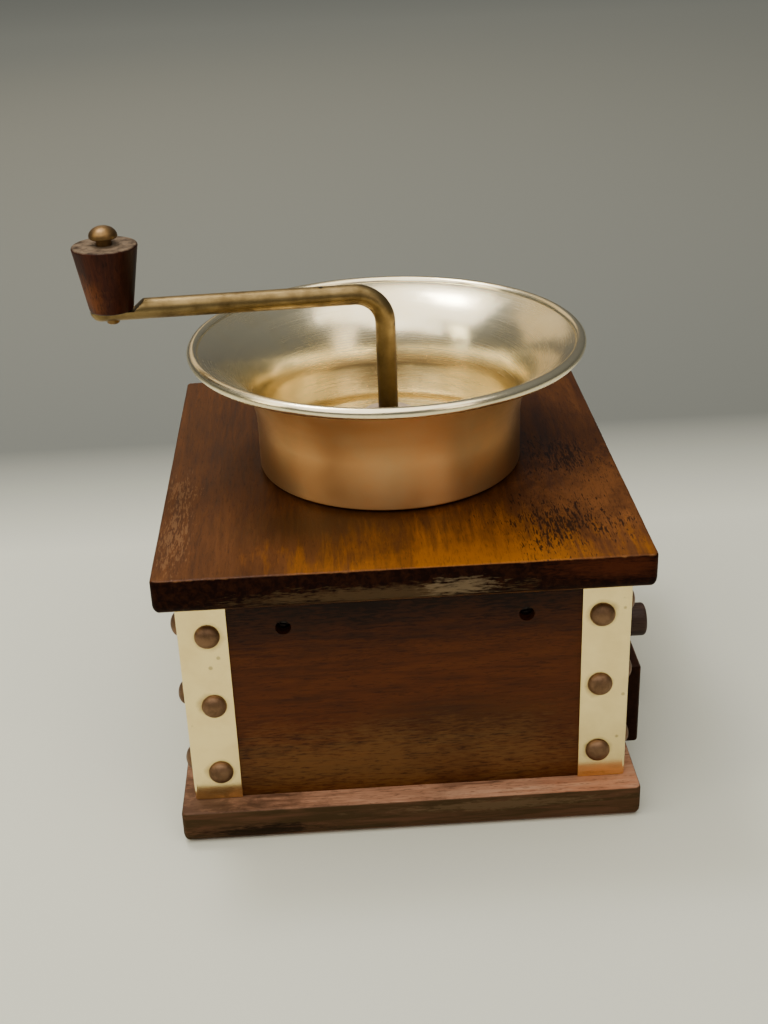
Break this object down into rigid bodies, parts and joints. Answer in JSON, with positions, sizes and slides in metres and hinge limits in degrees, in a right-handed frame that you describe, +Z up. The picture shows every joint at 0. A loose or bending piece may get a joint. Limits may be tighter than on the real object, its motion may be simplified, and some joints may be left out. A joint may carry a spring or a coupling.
{
  "type": "manual coffee grinder",
  "caption": "Hand-cranked box coffee mill: wooden case with brass corner strips, flared brass hopper, conical burrs under a bent crank, and a side drawer that catches the grounds.",
  "frame": {"origin": "centre of the wooden case on the underside of the base board", "axes": "+Z up, front panel towards -Y, drawer on the +X side, crank arm about along -X at rest"},
  "size_m": [0.2268, 0.192, 0.221],
  "materials": {
    "top_wood": "stained and lacquered hardwood, worn at the arrises",
    "base_wood": "stained hardwood, worn matt",
    "panel_wood": "stained hardwood, satin",
    "drawer_wood": "dark stained hardwood, satin",
    "knob_wood": "turned and stained hardwood",
    "inner_wood": "plain planed softwood",
    "strip_brass": "polished pale brass sheet",
    "bowl_brass": "spun and polished brass",
    "crank_brass": "aged brass rod",
    "old_brass": "dull aged brass",
    "pin_brass": "antique brass",
    "nail_bronze": "antique bronze",
    "works_iron": "plain casting",
    "burr_iron": "cut and hardened casting",
    "screw_steel": "plain steel"
  },
  "bodies": {
    "case": {"base_board": "base_wood", "top_board": "top_wood", "front_panel": "panel_wood", "back_panel": "panel_wood", "left_panel": "panel_wood", "right_panel": "panel_wood", "front_cleat": "inner_wood", "back_cleat": "inner_wood", "strip_front_left": "strip_brass", "strip_front_right": "strip_brass", "strip_back_left": "strip_brass", "strip_back_right": "strip_brass", "corner_nails": "nail_bronze", "panel_screws": "screw_steel", "base_screws": "screw_steel", "cleat_screws": "screw_steel", "drawer_runners": "inner_wood", "burr_housing": "works_iron", "outer_burr": "burr_iron", "lower_bridge": "works_iron", "lower_bridge_screws": "screw_steel", "hopper_bowl": "bowl_brass", "bearing_bridge": "works_iron", "shaft_bush": "old_brass", "bridge_screws": "old_brass"},
    "drawer": {"drawer_front": "drawer_wood", "drawer_side_near": "inner_wood", "drawer_side_far": "inner_wood", "drawer_back": "inner_wood", "drawer_bottom": "inner_wood", "drawer_knob": "knob_wood", "drawer_knob_screw": "screw_steel"},
    "lift": {"thrust_ball": "screw_steel"},
    "crank": {"crank_rod": "crank_brass", "inner_burr": "burr_iron", "burr_pin": "screw_steel", "knob_pin": "pin_brass"},
    "knob": {"crank_knob": "knob_wood"},
    "adjuster": {"adjusting_screw": "old_brass", "lock_nut": "screw_steel"}
  },
  "joints": [
    {"name": "drawer_slide", "type": "slide", "parent": "case", "child": "drawer", "axis": [1, 0, 0], "range_m": [0, 0.1]},
    {"name": "burr_lift", "type": "slide", "parent": "case", "child": "lift", "axis": [0, 0, 1], "range_m": [-0.0005, 0.0005]},
    {"name": "grind_adjust", "type": "hinge", "parent": "lift", "child": "adjuster", "pos_m": [0, 0, 0.05], "axis": [0, 0, 1], "range_deg": [-180, 180]},
    {"name": "crank_turn", "type": "hinge", "parent": "lift", "child": "crank", "pos_m": [0, 0, 0.1], "axis": [0, 0, 1], "continuous": true},
    {"name": "knob_spin", "type": "hinge", "parent": "crank", "child": "knob", "pos_m": [-0.10486, -0.00549, 0.2], "axis": [0, 0, 1], "continuous": true}
  ],
  "couplings": [
    {"joint": "grind_adjust", "follows": "burr_lift", "rad_per_m": 6283.2}
  ]
}
